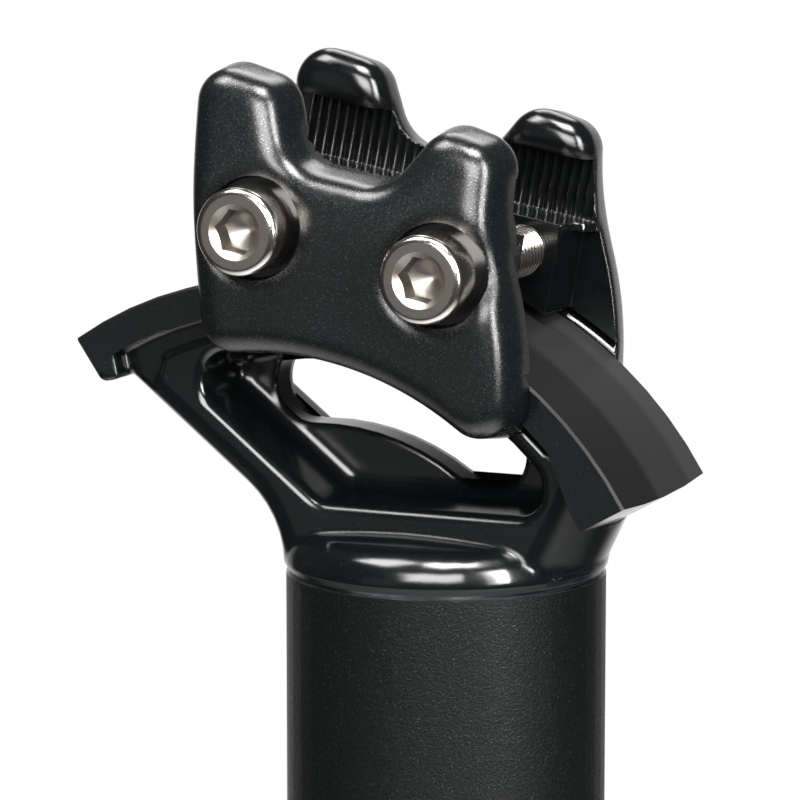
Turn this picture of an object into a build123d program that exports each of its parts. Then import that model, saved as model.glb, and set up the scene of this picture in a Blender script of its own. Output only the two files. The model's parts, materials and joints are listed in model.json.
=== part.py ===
# Bicycle seatpost with a two-bolt side clamp for a single-beam saddle.
# Millimetres, +Z up along the post, +X towards the front of the bicycle.
# The origin is on the post's axis, at the top end of its cylindrical tube.
import os
from math import acos, atan2, cos, degrees, hypot, radians, sin, sqrt, tan

from build123d import *

# Tube that slides into the bicycle's seat tube
tube_diameter = 31.6
tube_wall = 2.5
tube_length = 320.0
tube_end_chamfer = 0.6
bore_top_depth = 6.0
bore_dome_rise = 7.0

# Turned ring where the tube meets the forged neck
ring_foot_diameter = 30.8
ring_height = 2.2
ring_flare_angle = 28.0

# Forged neck and its two struts
neck_diameter = 32.0
neck_height = 4.2
neck_edge_round = 3.4
neck_shoulder_rise = 0.9
head_width = 18.8
rear_strut_angle = 51.5
rear_strut_start = 4.8
rear_strut_bend = 8.5
front_strut_angle = 25.0
front_strut_start = 1.6
front_strut_bend = 3.0
strut_edge_round = 3.0

# Tilt rail: an arc that the clamp slides along, about the saddle's tilt axis
tilt_axis_x = -12.1
rail_radius = 40.5
rail_crown_height = 29.6
rail_width = 22.4
rail_rear_angle = -34.4
rail_front_angle = 60.4
rail_lip = 3.3
rail_edge_chamfer = 0.25
rail_slot_rear_height = 2.3
rail_slot_front_height = 1.0
rail_slot_depth = 2.6
rail_slot_rear_angle = -30.5
rail_slot_mouth_angle = -24.0
rail_slot_mouth_lean = 4.4
rail_slot_front_angle = 47.0
rail_end_depth = 5.0
rail_end_corner = 1.0
rail_end_crown = 0.5
rail_heel_span = 4.0
rail_toe_depth = 1.0

# Pockets on both sides of the head, the web between them and its window
web_thickness = 4.0
pocket_draft = 5.0
pocket_rear_depth = 7.0
pocket_front_depth = 6.2
pocket_floor_height = 7.5
pocket_rear_angle = -17.5
pocket_front_rise = 4.3
pocket_heel_depth = 10.6
pocket_heel_angle = -19.4
pocket_keel_rear_x = -9.6
pocket_corner = 2.5
pocket_rim_round = 1.2
pocket_floor_round = 1.7
window_depth = 11.5
window_width = 8.0
window_rear_angle = -3.0
window_front_angle = 36.9

# Clamp plates, drawn in the clamp's own frame: along the beam and out from the tilt axis
clamp_tilt = 10.8
plate_outer_face = 16.8
plate_inner_face = 8.0
plate_draft = 8.0
plate_rear_rise = 18.2
plate_front_rise = 17.2
plate_tip_drop = 0.8
plate_foot_depth = 6.4
plate_rear_foot = -12.6
plate_rear_waist = -16.5
plate_rear_waist_rise = 5.0
plate_rear_top = -18.7
plate_front_foot = 18.9
plate_front_knee = 18.4
plate_front_knee_depth = 5.2
plate_front_waist = 15.3
plate_front_waist_rise = 4.7
plate_front_top = 12.4
notch_rear_top = -11.1
notch_rear_bottom = -7.8
notch_front_bottom = 2.7
notch_front_top = 6.7
notch_rise = 10.4
notch_round = 5.0
horn_round = 2.7
boss_face = 4.8
boss_half_length = 13.4
boss_foot_gap = 1.0
recess_foot_depth = 4.0
ledge_thickness = 0.8
ledge_reach = 1.6
plate_horn_taper = 1.9
plate_horn_taper_rise = 6.5
plate_horn_bend = 30.0
plate_edge_round = 2.3
plate_lip_round = 2.0
plate_corner_round = 3.0
slide_clearance = 0.15
hook_reach = 1.5

# Jaw that grips the saddle's beam
jaw_floor_face = 10.2
jaw_rise = 7.9
jaw_height = 6.2
jaw_tooth_pitch = 1.0
jaw_tooth_depth = 0.5
jaw_tooth_land = 0.16

# Clamp screws
screw_spacing = 19.3
screw_rise = 4.4
screw_diameter = 5.0
screw_length = 30.0
screw_head_diameter = 8.5
screw_head_height = 5.0
screw_head_round = 0.8
screw_socket_width = 4.0
screw_socket_depth = 2.8
screw_socket_mouth = 5.4
screw_hole_clearance = 0.5
thread_clearance = 0.1
spotface_clearance = 1.3
spotface_depth = 1.5
spotface_rim_round = 0.6
screw_tip_chamfer = 0.5

# Worked-out sizes shared by several pieces
tube_radius = tube_diameter / 2
bore_radius = tube_radius - tube_wall
ring_foot_radius = ring_foot_diameter / 2
neck_radius = neck_diameter / 2
head_half = head_width / 2
rail_half = rail_width / 2
web_half = web_thickness / 2
tilt_axis_z = rail_crown_height - rail_radius
slot_top_radius = rail_radius - rail_lip
slot_rear_radius = slot_top_radius - rail_slot_rear_height
slot_front_radius = slot_top_radius - rail_slot_front_height
slot_mouth_radius = slot_rear_radius - 2 * rail_slot_rear_height
pocket_front_radius = rail_radius - pocket_front_depth
pocket_front_top = pocket_floor_height + pocket_front_rise - tilt_axis_z
pocket_front_angle = degrees(acos(pocket_front_top / pocket_front_radius))
window_radius = rail_radius - window_depth
strut_reach = 2 * rail_radius
tilt_axis = Axis((tilt_axis_x, 0, tilt_axis_z), (0, 1, 0))
rail_section_plane = Plane(origin=(tilt_axis_x, 0, tilt_axis_z), x_dir=(0, 1, 0), z_dir=(1, 0, 0))


def on_arc(radius, angle):
    """Point at a radius from the tilt axis, at an angle from straight up towards the front."""
    return (tilt_axis_x + radius * sin(radians(angle)), tilt_axis_z + radius * cos(radians(angle)))


def is_under_rail(point):
    """True for a point between the neck and the slots below the rail, in front of the rail's rear end."""
    forward = point.X - tilt_axis_x
    upward = point.Z - tilt_axis_z
    in_front_of_end = degrees(atan2(forward, upward)) > rail_rear_angle + 1
    return in_front_of_end and hypot(forward, upward) < slot_rear_radius and point.Z > 1e-3


def add_strut(towards, angle, start, bend):
    """Round bar that leaves the neck upright and bends towards the front or the rear."""
    foot = start - bend * tan(radians(angle / 2))
    turn_axis = Axis((towards * (neck_radius + bend), 0, foot), (0, towards, 0))
    with BuildSketch(Plane.XY.offset(foot)) as foot_section:
        Circle(neck_radius)
    revolve(foot_section.sketch, axis=turn_axis, revolution_arc=angle)
    lean = (towards * sin(radians(angle)), 0, cos(radians(angle)))
    reach = neck_radius + bend
    end_x = towards * reach * (1 - cos(radians(angle)))
    end_z = foot + reach * sin(radians(angle))
    with BuildSketch(Plane(origin=(end_x, 0, end_z), x_dir=(0, 1, 0), z_dir=lean)) as bar_section:
        Circle(neck_radius)
    extrude(bar_section.sketch, amount=strut_reach)


# Envelope of the forging: round bars that bend out of the neck to both ends of the rail
with BuildPart() as strut_envelope:
    add_strut(-1, rear_strut_angle, rear_strut_start, rear_strut_bend)
    add_strut(1, front_strut_angle, front_strut_start, front_strut_bend)
    with BuildSketch(Plane.XY.offset(-neck_height)):
        Circle(neck_radius)
    extrude(amount=2 * neck_height)

# Post: tube, ring, neck, struts and tilt rail are one forging
with BuildPart() as post:
    # Head between the struts, up to the rail
    with BuildSketch(Plane.XZ):
        with BuildLine():
            rail_line = ThreePointArc(
                on_arc(rail_radius - rail_edge_chamfer, rail_rear_angle),
                on_arc(rail_radius - rail_edge_chamfer, 0),
                on_arc(rail_radius - rail_edge_chamfer, rail_front_angle),
            )
            rear_end = Line(rail_line @ 0, on_arc(slot_rear_radius - 2 * rail_end_depth, rail_rear_angle))
            front_end = Line(rail_line @ 1, on_arc(rail_radius - rail_end_depth, rail_front_angle))
            Polyline(
                rear_end @ 1,
                (-2 * neck_radius, 0),
                (2 * neck_radius, 0),
                (2 * neck_radius, (front_end @ 1).Y),
                front_end @ 1,
            )
        make_face()
    extrude(amount=head_half, both=True)
    add(strut_envelope.part, mode=Mode.INTERSECT)
    flank_edges = edges().filter_by(lambda e: abs(abs(e.center().Y) - head_half) < 1e-3)
    fillet(flank_edges.filter_by(lambda e: is_under_rail(e @ 0.5)), strut_edge_round)
    # Neck and its shoulder
    with BuildSketch(Plane.XZ):
        Polygon(
            (0, 0),
            (neck_radius, 0),
            (neck_radius, neck_height),
            (head_half, neck_height + neck_shoulder_rise),
            (0, neck_height + neck_shoulder_rise),
            align=None,
        )
        fillet(vertices().sort_by_distance((neck_radius, neck_height))[0], neck_edge_round)
    revolve(axis=Axis.Z)
    # Tilt rail, its end blocks and the slots below its lips
    rear_forward = (cos(radians(rail_rear_angle)), 0, -sin(radians(rail_rear_angle)))
    with BuildSketch(Plane(origin=(tilt_axis_x, 0, tilt_axis_z), x_dir=(0, 1, 0), z_dir=rear_forward)):
        with Locations((0, slot_top_radius)):
            Rectangle(rail_width, rail_lip, align=(Align.CENTER, Align.MIN))
        chamfer(vertices().group_by(Axis.Y)[-1], rail_edge_chamfer)
    revolve(axis=tilt_axis, revolution_arc=rail_front_angle - rail_rear_angle)
    rail_end_radius = rail_radius - rail_end_depth
    with BuildSketch(Plane.XZ):
        Polygon(
            on_arc(slot_top_radius + rail_lip / 2, rail_rear_angle),
            on_arc(slot_top_radius + rail_lip / 2, rail_slot_rear_angle),
            on_arc(rail_end_radius - rail_toe_depth, rail_slot_rear_angle),
            on_arc(rail_end_radius, rail_rear_angle),
            align=None,
        )
        fillet(vertices().sort_by_distance(on_arc(rail_end_radius, rail_rear_angle))[0:2], rail_end_corner)
    extrude(amount=rail_half, both=True)
    with BuildSketch(Plane.XZ):
        with BuildLine():
            block_top = ThreePointArc(
                on_arc(slot_top_radius + rail_lip / 2, rail_slot_front_angle),
                on_arc(slot_top_radius + rail_lip / 2, (rail_slot_front_angle + rail_front_angle) / 2),
                on_arc(slot_top_radius + rail_lip / 2, rail_front_angle),
            )
            block_end = Line(block_top @ 1, on_arc(rail_end_radius, rail_front_angle))
            block_heel = Line(block_end @ 1, on_arc(rail_end_radius, rail_front_angle - rail_heel_span))
            block_toe = Line(block_top @ 0, on_arc(slot_top_radius, rail_slot_front_angle))
            Line(block_heel @ 1, block_toe @ 1)
        make_face()
        fillet(vertices().sort_by_distance(block_heel @ 1)[0:2], rail_end_corner)
    extrude(amount=rail_half, both=True)
    # Pockets on both sides, with drafted walls down to the web
    for side in (1, -1):
        with BuildSketch(Plane.XZ.offset(side * head_half)):
            with BuildLine():
                pocket_top = ThreePointArc(
                    on_arc(rail_radius - pocket_rear_depth, pocket_rear_angle),
                    on_arc(
                        rail_radius - (pocket_rear_depth + pocket_front_depth) / 2,
                        (pocket_rear_angle + pocket_front_angle) / 2,
                    ),
                    on_arc(pocket_front_radius, pocket_front_angle),
                )
                Polyline(
                    pocket_top @ 0,
                    on_arc(rail_radius - pocket_heel_depth, pocket_heel_angle),
                    (pocket_keel_rear_x, pocket_floor_height),
                    ((pocket_top @ 1).X, pocket_floor_height),
                    pocket_top @ 1,
                )
            make_face()
            fillet(vertices(), pocket_corner)
        extrude(amount=-side * (head_half - web_half), taper=pocket_draft, mode=Mode.SUBTRACT)
        rim_edges = edges(Select.LAST).filter_by(lambda e: abs(abs(e.center().Y) - head_half) < 1e-3)
        fillet(rim_edges, pocket_rim_round)
    floor_edges = edges().filter_by(lambda e: abs(abs(e.center().Y) - web_half) < 1e-3)
    fillet(floor_edges, pocket_floor_round)
    # Window through the web
    with BuildSketch(Plane.XZ):
        with BuildLine():
            window_line = ThreePointArc(
                on_arc(window_radius, window_rear_angle),
                on_arc(window_radius, (window_rear_angle + window_front_angle) / 2),
                on_arc(window_radius, window_front_angle),
            )
        SlotArc(window_line, window_width)
    extrude(amount=web_half, both=True, mode=Mode.SUBTRACT)
    # Slots below the rail's lips, for the hooks of the clamp plates, each with a mouth that opens downwards
    for side in (1, -1):
        with BuildSketch(Plane.XZ.offset(side * rail_half)):
            with BuildLine():
                slot_top = ThreePointArc(
                    on_arc(slot_top_radius, rail_slot_rear_angle),
                    on_arc(slot_top_radius, (rail_slot_rear_angle + rail_slot_front_angle) / 2),
                    on_arc(slot_top_radius, rail_slot_front_angle),
                )
                slot_low = ThreePointArc(
                    on_arc(slot_rear_radius, rail_slot_mouth_angle),
                    on_arc(
                        (slot_rear_radius + slot_front_radius) / 2,
                        (rail_slot_mouth_angle + rail_slot_front_angle) / 2,
                    ),
                    on_arc(slot_front_radius, rail_slot_front_angle),
                )
                Polyline(
                    slot_low @ 0,
                    on_arc(slot_mouth_radius, rail_slot_mouth_angle - 2 * rail_slot_mouth_lean),
                    on_arc(slot_mouth_radius, rail_slot_rear_angle - rail_slot_mouth_lean),
                    slot_top @ 0,
                )
                Line(slot_low @ 1, slot_top @ 1)
            make_face()
        extrude(amount=-side * rail_slot_depth, mode=Mode.SUBTRACT)
    # Turned ring, cut out of the neck
    with BuildSketch(Plane.XZ):
        Polygon(
            (ring_foot_radius, 0),
            (ring_foot_radius + ring_height * tan(radians(ring_flare_angle)), ring_height),
            (2 * neck_radius, ring_height),
            (2 * neck_radius, 0),
            align=None,
        )
    revolve(axis=Axis.Z, mode=Mode.SUBTRACT)
    # Tube
    with BuildSketch(Plane.XZ):
        with BuildLine():
            bore_dome = ThreePointArc(
                (0, -bore_top_depth),
                (bore_radius * sin(radians(45)), -bore_top_depth - bore_dome_rise * (1 - cos(radians(45)))),
                (bore_radius, -bore_top_depth - bore_dome_rise),
            )
            Polyline(
                bore_dome @ 1,
                (bore_radius, -tube_length),
                (tube_radius - tube_end_chamfer, -tube_length),
                (tube_radius, -tube_length + tube_end_chamfer),
                (tube_radius, 0),
                (0, 0),
                bore_dome @ 0,
            )
        make_face()
    revolve(axis=Axis.Z)
    # Crowned front end of the rail
    front_end_x, front_end_z = on_arc(rail_radius, rail_front_angle)
    front_out = (sin(radians(rail_front_angle)), 0, cos(radians(rail_front_angle)))
    with BuildSketch(Plane(origin=(front_end_x, 0, front_end_z), x_dir=(0, 1, 0), z_dir=front_out)):
        with BuildLine():
            crown = ThreePointArc((-rail_half, rail_end_crown), (0, 0), (rail_half, rail_end_crown))
            Polyline(crown @ 0, (-rail_half, -rail_lip), (rail_half, -rail_lip), crown @ 1)
        make_face()
    extrude(amount=-rail_end_depth - rail_end_corner, mode=Mode.SUBTRACT)

# Frame of the clamp: x along the saddle's beam, y out from the tilt axis, z to the right-hand side
clamp_lean = radians(clamp_tilt)
beam_direction = Vector(cos(clamp_lean), 0, -sin(clamp_lean))
clamp_plane = Plane(origin=(tilt_axis_x, 0, tilt_axis_z), x_dir=beam_direction, z_dir=(0, -1, 0))
plate_section_plane = Plane(origin=(tilt_axis_x, 0, tilt_axis_z), x_dir=(0, -1, 0), z_dir=-beam_direction)
screw_places = {
    "front": (screw_spacing / 2, rail_radius + screw_rise),
    "rear": (-screw_spacing / 2, rail_radius + screw_rise),
}
plate_rear_tip = rail_radius + plate_rear_rise
plate_front_tip = rail_radius + plate_front_rise
plate_bottom_radius = rail_radius - plate_foot_depth
plate_horn_taper_start = rail_radius + plate_horn_taper_rise
notch_bottom = rail_radius + notch_rise
jaw_bottom = rail_radius + jaw_rise
screw_seat_face = plate_outer_face - spotface_depth
beam_span = 2 * plate_rear_tip
hook_face = rail_half - hook_reach
rail_side_face = rail_half + slide_clearance
shoulder_radius = rail_radius - rail_edge_chamfer + 2 * slide_clearance
boss_foot_radius = rail_radius + boss_foot_gap
ledge_plane = Plane(
    origin=clamp_plane.from_local_coords((0, jaw_bottom, 0)),
    x_dir=beam_direction,
    z_dir=clamp_plane.y_dir,
)
groove_half = (jaw_tooth_pitch - jaw_tooth_land) / 2
jaw_tooth_count = 2 * round((plate_front_foot - plate_rear_top) / 2 / jaw_tooth_pitch) + 1


def is_flank(face):
    """True for a face of the plate blank that stands nearly square to its inner face."""
    return abs(face.normal_at().Y) < 0.5


def bottom_point(along):
    """Point on the plate's bottom arc at a distance along the beam."""
    return (along, sqrt(plate_bottom_radius**2 - along**2))


# Blank of both clamp plates, drawn as the right-hand one
with BuildPart() as plate_blank:
    with BuildSketch(clamp_plane.offset(plate_outer_face)):
        with BuildLine():
            bottom = ThreePointArc(
                bottom_point(plate_rear_foot),
                (0, plate_bottom_radius),
                bottom_point(plate_front_foot),
            )
            rear_side = ThreePointArc(
                bottom @ 0,
                (plate_rear_waist, rail_radius + plate_rear_waist_rise),
                (plate_rear_top, plate_rear_tip),
            )
            front_hip = ThreePointArc(
                bottom @ 1,
                (plate_front_knee, rail_radius - plate_front_knee_depth),
                (plate_front_waist, rail_radius + plate_front_waist_rise),
            )
            front_side = TangentArc(
                front_hip @ 1,
                (plate_front_top, plate_front_tip - plate_tip_drop),
                tangent=front_hip % 1,
            )
            Polyline(
                rear_side @ 1,
                (notch_rear_top, plate_rear_tip - plate_tip_drop),
                (notch_rear_bottom, notch_bottom),
                (notch_front_bottom, notch_bottom),
                (notch_front_top, plate_front_tip),
                front_side @ 1,
            )
        make_face()
        corner_rounds = {
            bottom_point(plate_rear_foot): plate_corner_round,
            bottom_point(plate_front_foot): plate_corner_round,
            (plate_rear_top, plate_rear_tip): horn_round,
            (notch_rear_top, plate_rear_tip - plate_tip_drop): horn_round,
            (notch_rear_bottom, notch_bottom): notch_round,
            (notch_front_bottom, notch_bottom): notch_round,
            (notch_front_top, plate_front_tip): horn_round,
            (plate_front_top, plate_front_tip - plate_tip_drop): horn_round,
        }
        for corner, round_radius in corner_rounds.items():
            fillet(vertices().sort_by_distance(corner)[0], round_radius)
    extrude(amount=plate_inner_face - plate_outer_face, taper=-plate_draft)
    # Horns thin towards their tips on the outside
    with BuildSketch(plate_section_plane):
        Polygon(
            (plate_outer_face, plate_horn_taper_start),
            (plate_outer_face - 2 * plate_horn_taper, 2 * plate_rear_tip - plate_horn_taper_start),
            (plate_outer_face, 2 * plate_rear_tip - plate_horn_taper_start),
            align=None,
        )
    extrude(amount=beam_span, both=True, mode=Mode.SUBTRACT)
    lean_lines = edges().filter_by(Axis((0, 0, 0), beam_direction)).filter_by(
        lambda e: abs(clamp_plane.to_local_coords(e @ 0.5).Y - plate_horn_taper_start) < 1e-3
    )
    fillet(lean_lines, plate_horn_bend)
    outer_edges = edges().filter_by(lambda e: -(e @ 0.5).Y > plate_outer_face - plate_horn_taper - 1e-3)
    rim_edges = outer_edges.filter_by(lambda e: any(is_flank(f) for f in plate_blank.faces() if e in f.edges()))
    fillet(rim_edges, plate_edge_round)
    # Rounded inner edge, which stays on the lips over the saddle's beam
    inner_edges = edges().filter_by(lambda e: abs(-(e @ 0.5).Y - plate_inner_face) < 1e-3)
    fillet(inner_edges, plate_lip_round)
    # Jaw groove, open at both ends
    with BuildSketch(plate_section_plane):
        with Locations((jaw_floor_face, jaw_bottom)):
            Rectangle(jaw_floor_face, jaw_height, align=(Align.MAX, Align.MIN))
    extrude(amount=beam_span, both=True, mode=Mode.SUBTRACT)
    # Boss for both screws, whose top is the ledge below the saddle's beam
    recess_foot = rail_radius - recess_foot_depth
    with BuildSketch(clamp_plane.offset(jaw_floor_face)):
        with Locations((0, recess_foot)):
            Rectangle(
                2 * boss_half_length,
                jaw_bottom - recess_foot,
                align=(Align.CENTER, Align.MIN),
            )
    extrude(amount=boss_face - jaw_floor_face)
    # Recesses beyond both ends of the boss, below the ledge, and the ledge's slanted ends
    for end in (1, -1):
        with BuildSketch(clamp_plane.offset(rail_side_face)):
            with Locations((end * boss_half_length, recess_foot)):
                Rectangle(
                    boss_half_length,
                    jaw_bottom - ledge_thickness - recess_foot,
                    align=(Align.MIN if end > 0 else Align.MAX, Align.MIN),
                )
        extrude(amount=-rail_side_face, mode=Mode.SUBTRACT)
        with BuildSketch(ledge_plane):
            Polygon(
                (end * boss_half_length, -boss_face),
                (end * (boss_half_length + ledge_reach), -jaw_floor_face),
                (end * 2 * boss_half_length, -jaw_floor_face),
                (end * 2 * boss_half_length, -boss_face),
                align=None,
            )
        extrude(amount=-2 * ledge_thickness, mode=Mode.SUBTRACT)
    # Shoulder, side wall and hook that embrace the rail with a sliding clearance
    with BuildSketch(rail_section_plane):
        Polygon(
            (0, 0),
            (-hook_face, 0),
            (-hook_face, slot_top_radius - slide_clearance),
            (-rail_side_face, slot_top_radius - slide_clearance),
            (-rail_side_face, shoulder_radius),
            (shoulder_radius - rail_side_face - boss_foot_radius, boss_foot_radius),
            (0, boss_foot_radius),
            align=None,
        )
    revolve(axis=tilt_axis, mode=Mode.SUBTRACT)
    # Teeth across the floor of the jaw
    with BuildSketch(ledge_plane):
        with Locations((0, -jaw_floor_face)):
            with GridLocations(jaw_tooth_pitch, 0, jaw_tooth_count, 1):
                Polygon(
                    (-groove_half, 0),
                    (0, -jaw_tooth_depth),
                    (groove_half, 0),
                    align=None,
                )
    extrude(amount=jaw_height, mode=Mode.SUBTRACT)

# Right-hand plate: clearance holes and a seat for each screw head
with BuildPart() as right_clamp_plate:
    add(plate_blank.part)
    with BuildSketch(clamp_plane):
        with Locations(*screw_places.values()):
            Circle((screw_diameter + screw_hole_clearance) / 2)
    extrude(amount=2 * plate_outer_face, mode=Mode.SUBTRACT)
    with BuildSketch(clamp_plane.offset(screw_seat_face)):
        with Locations(*screw_places.values()):
            Circle((screw_head_diameter + spotface_clearance) / 2)
    extrude(amount=2 * spotface_depth, mode=Mode.SUBTRACT)
    seat_rims = edges(Select.LAST).filter_by(lambda e: -(e @ 0.5).Y > screw_seat_face + spotface_depth / 2)
    fillet(seat_rims, spotface_rim_round)

# Left-hand plate: mirror image with threaded holes
with BuildPart() as left_clamp_plate:
    add(mirror(plate_blank.part, about=Plane.XZ))
    with BuildSketch(clamp_plane):
        with Locations(*screw_places.values()):
            Circle((screw_diameter + thread_clearance) / 2)
    extrude(amount=-2 * plate_outer_face, mode=Mode.SUBTRACT)

os.makedirs("parts", exist_ok=True)
post.part.label = "post"
export_step(post.part, "parts/post.step")
right_clamp_plate.part.label = "right_clamp_plate"
export_step(right_clamp_plate.part, "parts/right_clamp_plate.step")
left_clamp_plate.part.label = "left_clamp_plate"
export_step(left_clamp_plate.part, "parts/left_clamp_plate.step")

# Socket cap screws, put in from the right-hand side
for place, (along, out) in screw_places.items():
    seat = clamp_plane.from_local_coords((along, out, screw_seat_face))
    face = clamp_plane.from_local_coords((along, out, screw_seat_face + screw_head_height))
    screw_axis = Axis(seat, (0, 1, 0))
    with BuildPart() as clamp_screw:
        with BuildSketch(Plane(origin=seat, x_dir=(1, 0, 0), z_dir=(0, 0, 1))):
            Polygon(
                (0, -screw_head_height),
                (screw_head_diameter / 2, -screw_head_height),
                (screw_head_diameter / 2, 0),
                (screw_diameter / 2, 0),
                (screw_diameter / 2, screw_length - screw_tip_chamfer),
                (screw_diameter / 2 - screw_tip_chamfer, screw_length),
                (0, screw_length),
                align=None,
            )
        revolve(axis=screw_axis)
        face_rim = edges().filter_by(GeomType.CIRCLE).sort_by(Axis.Y)[0]
        fillet(face_rim, screw_head_round)
        with BuildSketch(Plane(origin=face, x_dir=beam_direction, z_dir=(0, -1, 0))):
            RegularPolygon(screw_socket_width / 2, 6, major_radius=False)
        extrude(amount=-screw_socket_depth, mode=Mode.SUBTRACT)
        with BuildSketch(Plane(origin=face, x_dir=(1, 0, 0), z_dir=(0, 0, 1))):
            Polygon((0, 0), (screw_socket_mouth / 2, 0), (0, screw_socket_mouth / 2), align=None)
            Polygon(
                (0, screw_socket_depth),
                (screw_socket_width / 2, screw_socket_depth),
                (0, screw_socket_depth + screw_socket_width / 4),
                align=None,
            )
        revolve(axis=screw_axis, mode=Mode.SUBTRACT)
    clamp_screw.part.label = f"{place}_clamp_bolt"
    export_step(clamp_screw.part, f"parts/{place}_clamp_bolt.step")
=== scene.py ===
"""Looks of a bicycle seatpost: finishes, bolt threads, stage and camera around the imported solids."""
import json
from math import cos, hypot, radians, sin

import bpy
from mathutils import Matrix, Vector


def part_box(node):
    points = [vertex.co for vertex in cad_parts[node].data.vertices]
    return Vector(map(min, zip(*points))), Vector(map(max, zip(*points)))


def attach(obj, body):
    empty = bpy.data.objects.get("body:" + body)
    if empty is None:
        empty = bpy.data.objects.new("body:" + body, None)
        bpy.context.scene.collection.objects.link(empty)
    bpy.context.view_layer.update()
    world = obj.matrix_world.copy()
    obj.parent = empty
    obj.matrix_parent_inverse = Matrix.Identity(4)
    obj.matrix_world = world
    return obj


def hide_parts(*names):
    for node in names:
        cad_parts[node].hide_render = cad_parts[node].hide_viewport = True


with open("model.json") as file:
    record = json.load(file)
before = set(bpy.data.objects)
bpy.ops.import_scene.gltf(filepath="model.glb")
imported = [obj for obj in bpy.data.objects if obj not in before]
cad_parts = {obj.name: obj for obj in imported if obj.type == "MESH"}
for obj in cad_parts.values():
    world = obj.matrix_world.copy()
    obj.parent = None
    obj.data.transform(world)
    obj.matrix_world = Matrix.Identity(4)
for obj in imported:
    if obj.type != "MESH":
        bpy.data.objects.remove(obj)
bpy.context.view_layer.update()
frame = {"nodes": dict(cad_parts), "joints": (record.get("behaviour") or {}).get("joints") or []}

bl_info = {
    "name": "Seatpost looks",
    "version": (1, 0, 0),
    "blender": (4, 5, 0),
    "location": "View3D > Sidebar > Seatpost",
    "description": "Gives a seatpost with a side clamp its finishes, bolt threads and a studio stage",
    "category": "Object",
}

TILT_AXIS = Vector(frame["joints"][0]["pos_m"])
POST_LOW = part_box("post")[0]
PLATES = ("right_clamp_plate", "left_clamp_plate")
BOLTS = ("front_clamp_bolt", "rear_clamp_bolt")
BOLT_MIDDLES = [sum(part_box(bolt), Vector()) / 2 for bolt in BOLTS]

# Places of the finishes among the materials of the post, of a plate and of a bolt
HEAD, RAIL_TOP, RING, TUBE, BARE_EDGE, RAIL_SIDE = range(6)
OUTSIDE, LIP, JAW = range(3)
SOCKET = 1

# Parts of a face's normal along a direction past which the face counts as turned that way
TURNED_UP = 0.9
TURNED_DOWN = -0.2
TURNED_OUT = 0.6
TURNED_IN = -0.3

# Tolerances in metres, and angles up to which neighbouring faces are shaded smooth
MERGE_DISTANCE = 0.000002
HEIGHT_TOLERANCE = 0.00001
DEPTH_TOLERANCE = 0.00002
RADIUS_TOLERANCE = 0.00005
RAIL_TOLERANCE = 0.0007
FORGED_ANGLE = radians(32.0)
BOLT_ANGLE = radians(30.0)
THREAD_ANGLE = radians(35.0)
FACE_WEIGHT = 80

# Thread: the crest's share of the pitch, how far the ridge is sunk in the shank, and its turns
THREAD_CREST = 0.36
THREAD_SINK = 0.0002
THREAD_STEPS = 32
TURNS_LEFT_OFF = 2

# Stretch of a noise factor that holds most of its values, and how far a grain moves the roughness
NOISE_LOW, NOISE_HIGH = 0.3, 0.7
ROUGHNESS_DIP, ROUGHNESS_RISE = 0.06, 0.08
BEVEL_SAMPLES = 16
GRAIN_CORE = 0.4
RAIL_HALF_WIDTH = 0.0112
# Tint of the steel's warm patches, a painted reflection of something warm
WARM_REFLECTION_TINT = (1.04, 0.96, 0.86)

# Sockets of the Mix node by number, because several of them share a name
MIX_FACTOR, FLOAT_A, FLOAT_B, COLOUR_A, COLOUR_B = 0, 2, 3, 6, 7
FLOAT_RESULT, COLOUR_RESULT = 0, 2

# Floor: gap below the tube, and the shares of its radius between which it fades out
FLOOR_GAP = 0.0005
FLOOR_CORNERS = 96
FADE_START, FADE_END = 0.15, 0.6

# Room: a white panel behind the object, by the cosine of the angle to its middle, and dim elsewhere
PANEL_DIRECTION = (-0.40, 0.905, -0.155)
PANEL_EDGE, PANEL_CORE = 0.74, 0.95
MIRRORED_ROOM, MIRRORED_PANEL = 0.05, 1.0
DIFFUSE_ROOM, SEEN_ROOM = 0.25, 1.0

# Lamps: name, place, point aimed at, width and height in metres, power in watts
LAMPS = (
    ("lamp_above", (0.11, -0.165, 0.475), (0.0, 0.0, 0.03), 0.24, 0.16, 4.4),
    ("lamp_camera", (0.135, -0.54, 0.24), (0.0, 0.0, 0.02), 0.42, 0.26, 5.2),
    ("lamp_right", (0.46, -0.25, 0.19), (0.0, 0.0, 0.02), 0.10, 0.40, 5.0),
    ("lamp_left", (-0.20, -0.175, 0.46), (0.0, 0.0, 0.04), 0.22, 0.22, 2.4),
    ("lamp_fill", (-0.26, -0.60, -0.05), (0.0, 0.0, 0.03), 0.35, 0.35, 0.07),
    ("lamp_back", (-0.12, 0.42, 0.52), (0.0, 0.0, -0.06), 0.40, 0.30, 2.0),
)
SENSOR_WIDTH = 36.0
CLIP_START = 0.01


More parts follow.
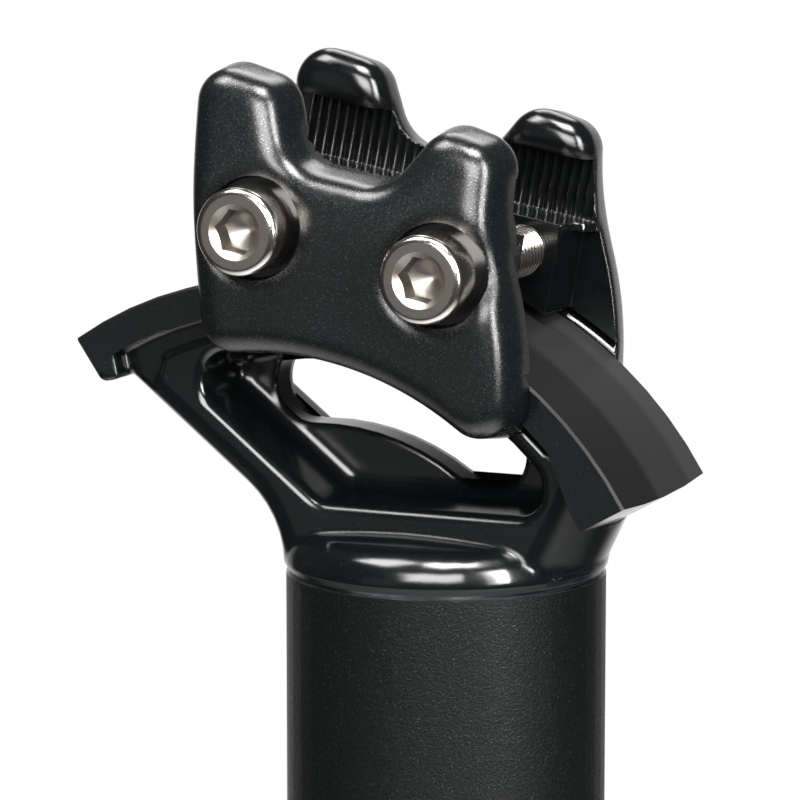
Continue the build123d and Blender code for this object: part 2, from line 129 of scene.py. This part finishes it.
class PostFinishSettings(bpy.types.PropertyGroup):
    """Colours and roughness of the forged post"""

    head_colour: bpy.props.FloatVectorProperty(
        name="Head colour", description="Glossy black of the forged head", subtype="COLOR",
        size=3, min=0.0, max=1.0, default=(0.0022, 0.0028, 0.0031))
    head_roughness: bpy.props.FloatProperty(
        name="Head roughness", description="Roughness of the glossy head", subtype="FACTOR",
        min=0.0, max=1.0, default=0.16)
    rail_colour: bpy.props.FloatVectorProperty(
        name="Rail colour", description="Dark grey of the machined rail top", subtype="COLOR",
        size=3, min=0.0, max=1.0, default=(0.010, 0.0103, 0.0102))
    tube_colour: bpy.props.FloatVectorProperty(
        name="Tube colour", description="Black of the blasted tube", subtype="COLOR",
        size=3, min=0.0, max=1.0, default=(0.0022, 0.0026, 0.0027))
    tube_roughness: bpy.props.FloatProperty(
        name="Tube roughness", description="Roughness of the blasted tube", subtype="FACTOR",
        min=0.0, max=1.0, default=0.42)
    edge_colour: bpy.props.FloatVectorProperty(
        name="Edge colour", description="Bare metal at the tube's top edge", subtype="COLOR",
        size=3, min=0.0, max=1.0, default=(0.55, 0.56, 0.57))
    ring_height: bpy.props.FloatProperty(
        name="Ring height", description="Height of the turned ring above the tube", unit="LENGTH",
        min=0.0, default=0.0022)
    rail_radius: bpy.props.FloatProperty(
        name="Rail radius", description="Radius of the rail's top about the tilt axis", unit="LENGTH",
        min=0.0, default=0.0405)
    rail_lip: bpy.props.FloatProperty(
        name="Rail lip", description="Depth of the crisp lip below the rail's top", unit="LENGTH",
        min=0.0, default=0.0036)
    edge_softness: bpy.props.FloatProperty(
        name="Edge softness", description="Radius over which the gloss finish softens the forged edges",
        unit="LENGTH", min=0.0, default=0.0011)


class PlateFinishSettings(bpy.types.PropertyGroup):
    """Colours and grain of the clamp plates"""

    colour: bpy.props.FloatVectorProperty(
        name="Colour", description="Satin black of the plates", subtype="COLOR",
        size=3, min=0.0, max=1.0, default=(0.0030, 0.0035, 0.0038))
    fleck_colour: bpy.props.FloatVectorProperty(
        name="Fleck colour", description="Colour of the bright grains in the finish", subtype="COLOR",
        size=3, min=0.0, max=1.0, default=(0.13, 0.135, 0.14))
    roughness: bpy.props.FloatProperty(
        name="Roughness", description="Roughness of the satin finish", subtype="FACTOR",
        min=0.0, max=1.0, default=0.22)
    edge_softness: bpy.props.FloatProperty(
        name="Edge softness", description="Radius over which the finish softens the plates' edges",
        unit="LENGTH", min=0.0, default=0.0026)
    jaw_softness: bpy.props.FloatProperty(
        name="Jaw softness", description="Radius over which the finish softens the teeth and ledge",
        unit="LENGTH", min=0.0, default=0.0003)
    seat_radius: bpy.props.FloatProperty(
        name="Seat radius", description="Radius round a bolt within which its seat has the crisp finish",
        unit="LENGTH", min=0.0, default=0.0050)
    tilt: bpy.props.FloatProperty(
        name="Tilt", description="Lean of the clamp towards the front at rest", subtype="ANGLE",
        default=radians(10.8))
    lip_radius: bpy.props.FloatProperty(
        name="Lip radius", description="Distance of the jaw's upper lips from the tilt axis",
        unit="LENGTH", min=0.0, default=0.0544)
    jaw_face: bpy.props.FloatProperty(
        name="Jaw face", description="Distance of the jaw's floor from the middle plane",
        unit="LENGTH", min=0.0, default=0.0101)


class BoltFinishSettings(bpy.types.PropertyGroup):
    """Colour and thread of the clamp bolts"""

    colour: bpy.props.FloatVectorProperty(
        name="Colour", description="Colour of the stainless steel", subtype="COLOR",
        size=3, min=0.0, max=1.0, default=(0.52, 0.50, 0.475))
    roughness: bpy.props.FloatProperty(
        name="Roughness", description="Roughness of the bright steel", subtype="FACTOR",
        min=0.0, max=1.0, default=0.19)
    socket_colour: bpy.props.FloatVectorProperty(
        name="Socket colour", description="Colour of the steel in the forged socket", subtype="COLOR",
        size=3, min=0.0, max=1.0, default=(0.26, 0.245, 0.225))
    socket_roughness: bpy.props.FloatProperty(
        name="Socket roughness", description="Roughness of the steel in the socket", subtype="FACTOR",
        min=0.0, max=1.0, default=0.4)
    socket_radius: bpy.props.FloatProperty(
        name="Socket radius", description="Radius of the socket's mouth", unit="LENGTH",
        min=0.0005, default=0.0028)
    thread_pitch: bpy.props.FloatProperty(
        name="Thread pitch", description="Distance between the turns of the thread", unit="LENGTH",
        min=0.0002, default=0.0008)
    thread_depth: bpy.props.FloatProperty(
        name="Thread depth", description="Depth of the thread below the shank's surface", unit="LENGTH",
        min=0.00005, default=0.0003)
    shank_radius: bpy.props.FloatProperty(
        name="Shank radius", description="Radius of the bolt's shank", unit="LENGTH",
        min=0.0005, default=0.0025)
    head_height: bpy.props.FloatProperty(
        name="Head height", description="Height of the bolt's head", unit="LENGTH",
        min=0.0005, default=0.005)


class StudioSettings(bpy.types.PropertyGroup):
    """Camera and floor"""

    camera_azimuth: bpy.props.FloatProperty(
        name="Camera azimuth", description="Turn of the camera from the right-hand side to the front",
        subtype="ANGLE", default=radians(23.71))
    camera_pitch: bpy.props.FloatProperty(
        name="Camera pitch", description="How far the camera looks down", subtype="ANGLE",
        default=radians(8.90))
    camera_distance: bpy.props.FloatProperty(
        name="Camera distance", description="Distance of the camera from the ring", unit="LENGTH",
        default=0.42)
    camera_side: bpy.props.FloatProperty(
        name="Camera side step", description="Step of the camera to its right", unit="LENGTH",
        default=-0.004561)
    camera_lift: bpy.props.FloatProperty(
        name="Camera lift", description="Step of the camera upwards", unit="LENGTH", default=0.01674)
    camera_lens: bpy.props.FloatProperty(
        name="Camera lens", description="Focal length on a 36 mm sensor", unit="CAMERA",
        default=191.35)
    floor_radius: bpy.props.FloatProperty(
        name="Floor radius", description="Radius of the round floor", unit="LENGTH", default=0.8)
    floor_colour: bpy.props.FloatVectorProperty(
        name="Floor colour", description="Plain pale colour of the floor", subtype="COLOR",
        size=3, min=0.0, max=1.0, default=(0.82, 0.82, 0.82))


def activate(piece):
    """Selects one object alone and makes it the active one."""
    bpy.ops.object.select_all(action="DESELECT")
    piece.select_set(True)
    bpy.context.view_layer.objects.active = piece


def merged_copy(node, name, smooth_angle):
    """Copy of a CAD node's mesh with its triangles joined and its curved faces shaded smooth."""
    if node not in frame["nodes"]:
        raise RuntimeError("the frame has no node named " + node)
    piece = bpy.data.objects.new(name, frame["nodes"][node].data.copy())
    bpy.context.scene.collection.objects.link(piece)
    piece.data.materials.clear()
    activate(piece)
    bpy.ops.object.mode_set(mode="EDIT")
    bpy.ops.mesh.select_all(action="SELECT")
    bpy.ops.mesh.remove_doubles(threshold=MERGE_DISTANCE)
    bpy.ops.object.mode_set(mode="OBJECT")
    bpy.ops.mesh.customdata_custom_splitnormals_clear()
    bpy.ops.object.shade_smooth_by_angle(angle=smooth_angle)
    return piece


def lay_finishes(piece, finishes, finish_index, settings):
    """Gives a piece its finishes, each face by its place, with shading that favours the large faces."""
    for finish in finishes:
        piece.data.materials.append(finish)
    for face in piece.data.polygons:
        face.material_index = finish_index(face, settings)
    activate(piece)
    weighted = piece.modifiers.new("even_normals", "WEIGHTED_NORMAL")
    weighted.keep_sharp = True
    weighted.weight = FACE_WEIGHT
    bpy.ops.object.modifier_apply(modifier=weighted.name)


def new_finish(name):
    """Material with its node tree, its shader's inputs and its Object coordinates."""
    finish = bpy.data.materials.new(name)
    finish.use_nodes = True
    tree = finish.node_tree
    place = tree.nodes.new("ShaderNodeTexCoord").outputs["Object"]
    return finish, tree, tree.nodes["Principled BSDF"].inputs, place


def scaled(colour, factor):
    """Colour made darker or lighter by a factor, up to white."""
    return tuple(min(1.0, factor * channel) for channel in colour)


def stretched(tree, place, scale):
    """Object coordinates scaled apart along each axis."""
    mapping = tree.nodes.new("ShaderNodeMapping")
    mapping.inputs["Scale"].default_value = scale
    tree.links.new(place, mapping.inputs["Vector"])
    return mapping.outputs["Vector"]


def noise(tree, vector, scale, detail, roughness=0.5):
    """Noise factor at a scale in cycles per unit of the vector."""
    texture = tree.nodes.new("ShaderNodeTexNoise")
    texture.inputs["Scale"].default_value = scale
    texture.inputs["Detail"].default_value = detail
    texture.inputs["Roughness"].default_value = roughness
    tree.links.new(vector, texture.inputs["Vector"])
    return texture.outputs["Fac"]


def spread(tree, factor, low, high, low_value=0.0, high_value=1.0):
    """Maps a stretch of a factor onto another range."""
    mapper = tree.nodes.new("ShaderNodeMapRange")
    mapper.inputs["From Min"].default_value = low
    mapper.inputs["From Max"].default_value = high
    mapper.inputs["To Min"].default_value = low_value
    mapper.inputs["To Max"].default_value = high_value
    tree.links.new(factor, mapper.inputs["Value"])
    return mapper.outputs["Result"]


def grains(tree, place, scale, share):
    """Factor that is 1 on a share of small random cells and 0 elsewhere."""
    cells = tree.nodes.new("ShaderNodeTexVoronoi")
    cells.inputs["Scale"].default_value = scale
    tree.links.new(place, cells.inputs["Vector"])
    parts = tree.nodes.new("ShaderNodeSeparateColor")
    tree.links.new(cells.outputs["Color"], parts.inputs["Color"])
    return spread(tree, parts.outputs["Red"], 1.0 - share, 1.0 - GRAIN_CORE * share)


def relief(tree, height, strength, distance, under=None):
    """Normal of a bump, laid over another normal where given."""
    bump = tree.nodes.new("ShaderNodeBump")
    bump.inputs["Strength"].default_value = strength
    bump.inputs["Distance"].default_value = distance
    tree.links.new(height, bump.inputs["Height"])
    if under is not None:
        tree.links.new(under, bump.inputs["Normal"])
    return bump.outputs["Normal"]


def soft_edges(tree, radius):
    """Normal that runs smoothly over the edges, as if they were rounded by a radius."""
    bevel = tree.nodes.new("ShaderNodeBevel")
    bevel.samples = BEVEL_SAMPLES
    bevel.inputs["Radius"].default_value = radius
    return bevel.outputs["Normal"]


def two_colours(tree, shader, factor, first, second):
    """Base colour that runs from one colour to another with a factor."""
    mix = tree.nodes.new("ShaderNodeMix")
    mix.data_type = "RGBA"
    mix.inputs[COLOUR_A].default_value = (*first, 1.0)
    mix.inputs[COLOUR_B].default_value = (*second, 1.0)
    tree.links.new(factor, mix.inputs[MIX_FACTOR])
    tree.links.new(mix.outputs[COLOUR_RESULT], shader["Base Color"])


def vary_roughness(tree, shader, factor, smooth, rough):
    """Roughness that runs from one value to another with a noise factor."""
    tree.links.new(spread(tree, factor, NOISE_LOW, NOISE_HIGH, smooth, rough), shader["Roughness"])


def glossy_head_finish(settings, name, edge_radius):
    """Gloss black with a faint ripple and a few bright specks, over edges that are soft or crisp."""
    finish, tree, shader, place = new_finish(name)
    shader["Specular IOR Level"].default_value = 0.6
    specks = grains(tree, place, scale=9000.0, share=0.012)
    two_colours(tree, shader, specks, settings.head_colour, scaled(settings.head_colour, 5.0))
    patches = noise(tree, place, scale=160.0, detail=3.0)
    middle = settings.head_roughness
    vary_roughness(tree, shader, patches, 0.75 * middle, 1.25 * middle)
    under = soft_edges(tree, edge_radius) if edge_radius > 0.0 else None
    waves = noise(tree, place, scale=420.0, detail=2.0)
    ripple = relief(tree, waves, strength=0.03, distance=0.0003, under=under)
    fine = noise(tree, place, scale=5200.0, detail=2.0)
    grain = relief(tree, fine, strength=0.04, distance=0.00005, under=ripple)
    tree.links.new(grain, shader["Normal"])
    return finish


def machined_rail_finish(settings):
    """Dark grey machined face with fine lines along the rail, and painted reflections across it: a
    darker near band and a lighter far band.
    """
    finish, tree, shader, place = new_finish("machined_rail_black")
    shader["Specular IOR Level"].default_value = 0.22
    parts = tree.nodes.new("ShaderNodeSeparateXYZ")
    tree.links.new(place, parts.inputs["Vector"])
    # Painted reflections across the rail: the near band is darkened as a painted dark reflection, the
    # far band is lightened as a painted light reflection, and the rail's own colour lies between them
    painted_reflection_bands = tree.nodes.new("ShaderNodeValToRGB")
    across = spread(tree, parts.outputs["Y"], -RAIL_HALF_WIDTH, RAIL_HALF_WIDTH)
    tree.links.new(across, painted_reflection_bands.inputs["Fac"])
    near_end, middle_start, middle_end, far_start = 0.38, 0.43, 0.77, 0.84
    stops = painted_reflection_bands.color_ramp.elements
    stops[0].position = near_end
    stops[0].color = (*scaled(settings.rail_colour, 0.3), 1.0)
    stops[1].position = far_start
    stops[1].color = (*scaled(settings.rail_colour, 1.7), 1.0)
    for position in (middle_start, middle_end):
        stops.new(position).color = (*settings.rail_colour, 1.0)
    tree.links.new(painted_reflection_bands.outputs["Color"], shader["Base Color"])
    along = stretched(tree, place, (18.0, 1000.0, 18.0))
    lines = noise(tree, along, scale=6.0, detail=3.0)
    vary_roughness(tree, shader, lines, 0.36, 0.5)
    tree.links.new(relief(tree, lines, strength=0.18, distance=0.00005), shader["Normal"])
    return finish


def turned_ring_finish(settings):
    """Turned black with lines round the ring."""
    finish, tree, shader, place = new_finish("turned_ring_black")
    shader["Specular IOR Level"].default_value = 0.25
    around = stretched(tree, place, (30.0, 30.0, 1900.0))
    lines = noise(tree, around, scale=1.0, detail=3.0, roughness=0.6)
    bared = spread(tree, lines, 0.5, 0.7)
    two_colours(tree, shader, bared, settings.head_colour, scaled(settings.head_colour, 14.0))
    vary_roughness(tree, shader, lines, 0.12, 0.28)
    tree.links.new(relief(tree, lines, strength=0.35, distance=0.00006), shader["Normal"])
    return finish


def bare_edge_finish(settings):
    """Turned edge where bare aluminium shows, dulled in places."""
    finish, tree, shader, place = new_finish("bare_tube_edge")
    shader["Metallic"].default_value = 1.0
    shader["Roughness"].default_value = 0.3
    worn = noise(tree, place, scale=260.0, detail=3.0)
    toned = spread(tree, worn, 0.35, 0.6)
    two_colours(tree, shader, toned, scaled(settings.edge_colour, 0.3), settings.edge_colour)
    return finish


def blasted_tube_finish(settings):
    """Matte black with bright specks and the fine pebbled texture of blasting."""
    finish, tree, shader, place = new_finish("blasted_tube_black")
    shader["Specular IOR Level"].default_value = 0.2
    specks = grains(tree, place, scale=9000.0, share=0.03)
    two_colours(tree, shader, specks, settings.tube_colour, scaled(settings.tube_colour, 24.0))
    tree.links.new(specks, shader["Metallic"])
    pebbles = noise(tree, place, scale=3600.0, detail=3.0, roughness=0.65)
    middle = settings.tube_roughness
    vary_roughness(tree, shader, pebbles, middle - ROUGHNESS_DIP, middle + ROUGHNESS_RISE)
    tree.links.new(relief(tree, pebbles, strength=0.7, distance=0.0001), shader["Normal"])
    return finish


def satin_plate_finish(settings):
    """Satin black with a sparkling fine grain over softly rounded edges, for the plates' outside."""
    finish, tree, shader, place = new_finish("satin_black_plate")
    shader["Specular IOR Level"].default_value = 0.55
    flecks = grains(tree, place, scale=17000.0, share=0.05)
    two_colours(tree, shader, flecks, settings.colour, settings.fleck_colour)
    tree.links.new(flecks, shader["Metallic"])
    grain = noise(tree, place, scale=5200.0, detail=2.0, roughness=0.6)
    middle = settings.roughness
    vary_roughness(tree, shader, grain, middle - ROUGHNESS_DIP, middle + ROUGHNESS_RISE)
    soft = soft_edges(tree, settings.edge_softness)
    waves = noise(tree, place, scale=45.0, detail=1.0)
    swell = relief(tree, waves, strength=0.3, distance=0.0015, under=soft)
    grained = relief(tree, grain, strength=0.2, distance=0.00005, under=swell)
    tree.links.new(grained, shader["Normal"])
    return finish


def gloss_plate_finish(settings, name, edge_radius):
    """Gloss black of the plates' inner side, for the soft lips or the crisper jaw."""
    finish, tree, shader, place = new_finish(name)
    shader["Specular IOR Level"].default_value = 0.55
    patches = noise(tree, place, scale=900.0, detail=3.0)
    two_colours(tree, shader, patches, scaled(settings.colour, 0.5), settings.colour)
    vary_roughness(tree, shader, patches, 0.5 * settings.roughness, 0.75 * settings.roughness)
    soft = soft_edges(tree, edge_radius)
    patched = relief(tree, patches, strength=0.05, distance=0.0001, under=soft)
    tree.links.new(patched, shader["Normal"])
    return finish


def stainless_finish(name, colour, roughness):
    """Stainless steel with a fine grain and faint warm patches of painted reflection."""
    finish, tree, shader, place = new_finish(name)
    shader["Metallic"].default_value = 1.0
    # Warm patches mixed into the steel's colour: a painted reflection of something warm
    warm = tuple(channel * tint for channel, tint in zip(colour, WARM_REFLECTION_TINT))
    patches = noise(tree, place, scale=420.0, detail=3.0)
    two_colours(tree, shader, spread(tree, patches, 0.4, 0.65), colour, warm)
    grain = noise(tree, place, scale=5000.0, detail=3.0, roughness=0.65)
    vary_roughness(tree, shader, grain, 0.8 * roughness, 1.2 * roughness)
    tree.links.new(relief(tree, grain, strength=0.03, distance=0.00002), shader["Normal"])
    return finish


class SEATPOST_OT_post(bpy.types.Operator):
    """Gives the forged post its finishes: gloss head, machined rail, turned ring and blasted tube"""

    bl_idname = "seatpost.post"
    bl_label = "Finish the post"

    def execute(self, context):
        settings = context.scene.seatpost_post
        post = merged_copy("post", "post_finished", FORGED_ANGLE)
        finishes = (
            glossy_head_finish(settings, "gloss_black_forging", settings.edge_softness),
            machined_rail_finish(settings),
            turned_ring_finish(settings),
            blasted_tube_finish(settings),
            bare_edge_finish(settings),
            glossy_head_finish(settings, "gloss_black_rail_side", 0.0),
        )
        lay_finishes(post, finishes, self.finish_index, settings)
        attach(post, "post")
        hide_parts("post")
        return {"FINISHED"}

    def finish_index(self, face, settings):
        """Number of the finish for a face of the post, by its place."""
        if abs(face.center.z) < HEIGHT_TOLERANCE and face.normal.z > TURNED_UP:
            return BARE_EDGE
        if face.center.z < 0.0:
            return TUBE
        if face.center.z < settings.ring_height and face.normal.z < TURNED_DOWN:
            return RING
        outward = Vector((face.center.x - TILT_AXIS.x, 0.0, face.center.z - TILT_AXIS.z))
        at_rail_top = outward.length > settings.rail_radius - RAIL_TOLERANCE
        if at_rail_top and face.normal.dot(outward.normalized()) > TURNED_OUT:
            return RAIL_TOP
        if outward.length > settings.rail_radius - settings.rail_lip:
            return RAIL_SIDE
        return HEAD


class SEATPOST_OT_plates(bpy.types.Operator):
    """Gives both clamp plates their finishes: satin outside, gloss inside"""

    bl_idname = "seatpost.plates"
    bl_label = "Finish the clamp plates"

    def execute(self, context):
        settings = context.scene.seatpost_plates
        finishes = (
            satin_plate_finish(settings),
            gloss_plate_finish(settings, "gloss_black_lip", settings.edge_softness),
            gloss_plate_finish(settings, "gloss_black_jaw", settings.jaw_softness),
        )
        for node in PLATES:
            plate = merged_copy(node, node + "_finished", FORGED_ANGLE)
            lay_finishes(plate, finishes, self.finish_index, settings)
            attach(plate, "clamp")
            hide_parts(node)
        return {"FINISHED"}

    def finish_index(self, face, settings):
        """Number of the finish for a face of a plate, by its place."""
        side = 1.0 if face.center.y > 0.0 else -1.0
        inner = abs(face.center.y) < settings.jaw_face or side * face.normal.y < TURNED_IN
        up = Vector((sin(settings.tilt), 0.0, cos(settings.tilt)))
        if (face.center - TILT_AXIS).dot(up) > settings.lip_radius:
            return LIP if inner else OUTSIDE
        for middle in BOLT_MIDDLES:
            away = hypot(middle.x - face.center.x, middle.z - face.center.z)
            if away < settings.seat_radius:
                return JAW
        return JAW if inner else OUTSIDE


class SEATPOST_OT_bolts(bpy.types.Operator):
    """Gives both clamp bolts their steel finish and their threads"""

    bl_idname = "seatpost.bolts"
    bl_label = "Finish the clamp bolts"

    def execute(self, context):
        settings = context.scene.seatpost_bolts
        bright = stainless_finish("bright_stainless", settings.colour, settings.roughness)
        dull = stainless_finish("dull_socket_steel", settings.socket_colour, settings.socket_roughness)
        for node, middle in zip(BOLTS, BOLT_MIDDLES):
            low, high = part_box(node)
            neck_y = low.y + settings.head_height
            bolt = merged_copy(node, node + "_finished", BOLT_ANGLE)
            self.slim_shank(bolt, middle, neck_y, settings)
            thread = self.thread(node + "_thread", middle, neck_y, high.y, settings)
            for piece in (bolt, thread):
                piece.data.materials.append(bright)
                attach(piece, "clamp")
            bolt.data.materials.append(dull)
            self.dull_socket(bolt, middle, low.y, settings)
            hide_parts(node)
        return {"FINISHED"}

    def dull_socket(self, bolt, middle, face_y, settings):
        """Gives the socket in the bolt's head its own finish."""
        for face in bolt.data.polygons:
            away = hypot(face.center.x - middle.x, face.center.z - middle.z)
            sunk = DEPTH_TOLERANCE < face.center.y - face_y < settings.head_height
            if sunk and away < settings.socket_radius:
                face.material_index = SOCKET

    def slim_shank(self, bolt, middle, neck_y, settings):
        """Draws the shank in to the bottom of the thread."""
        activate(bolt)
        for vertex in bolt.data.vertices:
            away = hypot(vertex.co.x - middle.x, vertex.co.z - middle.z)
            below_head = vertex.co.y > neck_y - DEPTH_TOLERANCE
            vertex.select = below_head and away < settings.shank_radius + RADIUS_TOLERANCE
        for element in (*bolt.data.edges, *bolt.data.polygons):
            element.select = False
        slim = 1.0 - settings.thread_depth / settings.shank_radius
        bpy.ops.object.mode_set(mode="EDIT")
        bpy.ops.mesh.select_mode(type="VERT")
        bpy.ops.transform.resize(value=(slim, 1.0, slim), center_override=middle)
        bpy.ops.object.mode_set(mode="OBJECT")

    def thread(self, name, middle, start_y, end_y, settings):
        """Helical ridge round the shank, from a small profile turned by a screw modifier."""
        pitch = settings.thread_pitch
        ridge = self.thread_profile(name, settings)
        screw = ridge.modifiers.new("thread_turns", "SCREW")
        screw.axis = "Z"
        screw.screw_offset = pitch
        screw.iterations = int((end_y - start_y) / pitch) - TURNS_LEFT_OFF
        screw.steps = THREAD_STEPS
        screw.render_steps = THREAD_STEPS
        screw.use_merge_vertices = True
        activate(ridge)
        bpy.ops.object.modifier_apply(modifier=screw.name)
        bpy.ops.object.mode_set(mode="EDIT")
        bpy.ops.mesh.select_all(action="SELECT")
        bpy.ops.transform.rotate(value=radians(90.0), orient_axis="X", center_override=(0.0, 0.0, 0.0))
        bpy.ops.mesh.normals_make_consistent(inside=False)
        bpy.ops.object.mode_set(mode="OBJECT")
        lowest_y = min(vertex.co.y for vertex in ridge.data.vertices)
        bpy.ops.object.mode_set(mode="EDIT")
        bpy.ops.mesh.select_all(action="SELECT")
        bpy.ops.transform.translate(value=(middle.x, start_y + pitch - lowest_y, middle.z))
        bpy.ops.object.mode_set(mode="OBJECT")
        bpy.ops.object.shade_smooth_by_angle(angle=THREAD_ANGLE)
        return ridge

    def thread_profile(self, name, settings):
        """Section of the thread's ridge: the four edges of a plane, out from the Z axis."""
        bpy.ops.object.select_all(action="DESELECT")
        bpy.ops.mesh.primitive_plane_add(size=1.0, location=(0.0, 0.0, 0.0))
        ridge = bpy.context.object
        ridge.name = name
        bpy.ops.object.mode_set(mode="EDIT")
        bpy.ops.mesh.select_all(action="SELECT")
        bpy.ops.mesh.delete(type="ONLY_FACE")
        bpy.ops.object.mode_set(mode="OBJECT")
        crest = settings.shank_radius
        foot = crest - settings.thread_depth - THREAD_SINK
        half = settings.thread_pitch / 2
        flat = THREAD_CREST * half
        corners = ((foot, -half), (crest, -flat), (crest, flat), (foot, half))
        order_round_plane = (0, 1, 3, 2)
        for number, (out, along) in zip(order_round_plane, corners):
            ridge.data.vertices[number].co = (out, 0.0, along)
        return ridge


class SEATPOST_OT_studio(bpy.types.Operator):
    """Sets the floor, the backdrop, the lamps and the camera"""

    bl_idname = "seatpost.studio"
    bl_label = "Set the studio"

    def execute(self, context):
        settings = context.scene.seatpost_studio
        context.scene.view_settings.view_transform = "Standard"
        self.floor(settings)
        self.backdrop(context.scene)
        self.lamps(context.scene)
        self.camera(context.scene, settings)
        return {"FINISHED"}

    def floor(self, settings):
        """Round pale floor under the tube's end, which fades into the backdrop."""
        radius = settings.floor_radius
        bpy.ops.object.select_all(action="DESELECT")
        bpy.ops.mesh.primitive_circle_add(vertices=FLOOR_CORNERS, radius=radius, fill_type="NGON",
                                          location=(0.0, 0.0, POST_LOW.z - FLOOR_GAP))
        floor = bpy.context.object
        floor.name = "studio_floor"
        finish, tree, shader, place = new_finish("pale_floor")
        cloudy = noise(tree, place, scale=3.0, detail=2.0)
        two_colours(tree, shader, cloudy, settings.floor_colour, scaled(settings.floor_colour, 1.04))
        shader["Roughness"].default_value = 0.7
        reach = tree.nodes.new("ShaderNodeVectorMath")
        reach.operation = "LENGTH"
        tree.links.new(place, reach.inputs[0])
        fade = spread(tree, reach.outputs["Value"], FADE_START * radius, FADE_END * radius)
        clear = tree.nodes.new("ShaderNodeBsdfTransparent")
        blend = tree.nodes.new("ShaderNodeMixShader")
        sources = (fade, tree.nodes["Principled BSDF"].outputs["BSDF"], clear.outputs["BSDF"])
        for source, socket in zip(sources, blend.inputs):
            tree.links.new(source, socket)
        tree.links.new(blend.outputs["Shader"], tree.nodes["Material Output"].inputs["Surface"])
        floor.data.materials.append(finish)

    def backdrop(self, scene):
        """White to the camera and, behind the object, in reflections; the rest of the room is dim."""
        scene.world = bpy.data.worlds.new("studio_world")
        scene.world.use_nodes = True
        tree = scene.world.node_tree
        path = tree.nodes.new("ShaderNodeLightPath").outputs
        direction = tree.nodes.new("ShaderNodeTexCoord").outputs["Generated"]
        toward = tree.nodes.new("ShaderNodeVectorMath")
        toward.operation = "DOT_PRODUCT"
        toward.inputs[1].default_value = PANEL_DIRECTION
        tree.links.new(direction, toward.inputs[0])
        panel = spread(tree, toward.outputs["Value"], PANEL_EDGE, PANEL_CORE,
                       MIRRORED_ROOM, MIRRORED_PANEL)
        mirrored = tree.nodes.new("ShaderNodeMath")
        mirrored.operation = "MAXIMUM"
        tree.links.new(path["Is Glossy Ray"], mirrored.inputs[0])
        tree.links.new(path["Is Transmission Ray"], mirrored.inputs[1])
        room = tree.nodes.new("ShaderNodeMix")
        room.inputs[FLOAT_A].default_value = DIFFUSE_ROOM
        tree.links.new(mirrored.outputs["Value"], room.inputs[MIX_FACTOR])
        tree.links.new(panel, room.inputs[FLOAT_B])
        seen = tree.nodes.new("ShaderNodeMix")
        seen.inputs[FLOAT_B].default_value = SEEN_ROOM
        tree.links.new(path["Is Camera Ray"], seen.inputs[MIX_FACTOR])
        tree.links.new(room.outputs[FLOAT_RESULT], seen.inputs[FLOAT_A])
        backdrop = tree.nodes["Background"].inputs
        backdrop["Color"].default_value = (1.0, 1.0, 1.0, 1.0)
        tree.links.new(seen.outputs[FLOAT_RESULT], backdrop["Strength"])

    def lamps(self, scene):
        """Soft boxes above, over the camera, at the right, at the left and behind, and a dim fill."""
        for name, place, aim, width, height, power in LAMPS:
            lamp = bpy.data.lights.new(name, "AREA")
            lamp.shape = "RECTANGLE"
            lamp.size = width
            lamp.size_y = height
            lamp.energy = power
            holder = bpy.data.objects.new(name, lamp)
            scene.collection.objects.link(holder)
            holder.location = place
            holder.rotation_euler = (Vector(aim) - Vector(place)).to_track_quat("-Z", "Y").to_euler()
            holder.visible_camera = False

    def camera(self, scene, settings):
        """Camera at the photograph's angle, with its lens."""
        turn = settings.camera_azimuth
        dip = settings.camera_pitch
        ahead = Vector((-sin(turn) * cos(dip), cos(turn) * cos(dip), -sin(dip)))
        right = Vector((cos(turn), sin(turn), 0.0))
        up = right.cross(ahead)
        view = bpy.data.cameras.new("photo_camera")
        view.sensor_width = SENSOR_WIDTH
        view.lens = settings.camera_lens
        view.clip_start = CLIP_START
        holder = bpy.data.objects.new("photo_camera", view)
        scene.collection.objects.link(holder)
        step = settings.camera_side * right + settings.camera_lift * up
        holder.location = step - settings.camera_distance * ahead
        holder.rotation_euler = (radians(90.0) - dip, 0.0, turn)
        scene.camera = holder


class SEATPOST_PT_panel(bpy.types.Panel):
    """Lists the steps that finish the seatpost"""

    bl_idname = "SEATPOST_PT_panel"
    bl_label = "Seatpost"
    bl_space_type = "VIEW_3D"
    bl_region_type = "UI"
    bl_category = "Seatpost"

    def draw(self, context):
        for step in STEPS:
            self.layout.operator(step.bl_idname)
        for group in GROUPS:
            settings = getattr(context.scene, group)
            box = self.layout.box()
            for name in settings.__annotations__:
                box.prop(settings, name)


GROUPS = {
    "seatpost_post": PostFinishSettings,
    "seatpost_plates": PlateFinishSettings,
    "seatpost_bolts": BoltFinishSettings,
    "seatpost_studio": StudioSettings,
}
STEPS = (SEATPOST_OT_post, SEATPOST_OT_plates, SEATPOST_OT_bolts, SEATPOST_OT_studio)


def register():
    """Adds the settings, the steps and the panel."""
    for name, group in GROUPS.items():
        bpy.utils.register_class(group)
        setattr(bpy.types.Scene, name, bpy.props.PointerProperty(type=group))
    for step in STEPS:
        bpy.utils.register_class(step)
    bpy.utils.register_class(SEATPOST_PT_panel)


def unregister():
    """Takes the panel, the steps and the settings away again."""
    bpy.utils.unregister_class(SEATPOST_PT_panel)
    for step in reversed(STEPS):
        bpy.utils.unregister_class(step)
    for name, group in GROUPS.items():
        delattr(bpy.types.Scene, name)
        bpy.utils.unregister_class(group)


def main():
    """Runs the steps in order."""
    register()
    bpy.ops.seatpost.post()
    bpy.ops.seatpost.plates()
    bpy.ops.seatpost.bolts()
    bpy.ops.seatpost.studio()


if __name__ == "__main__":
    main()
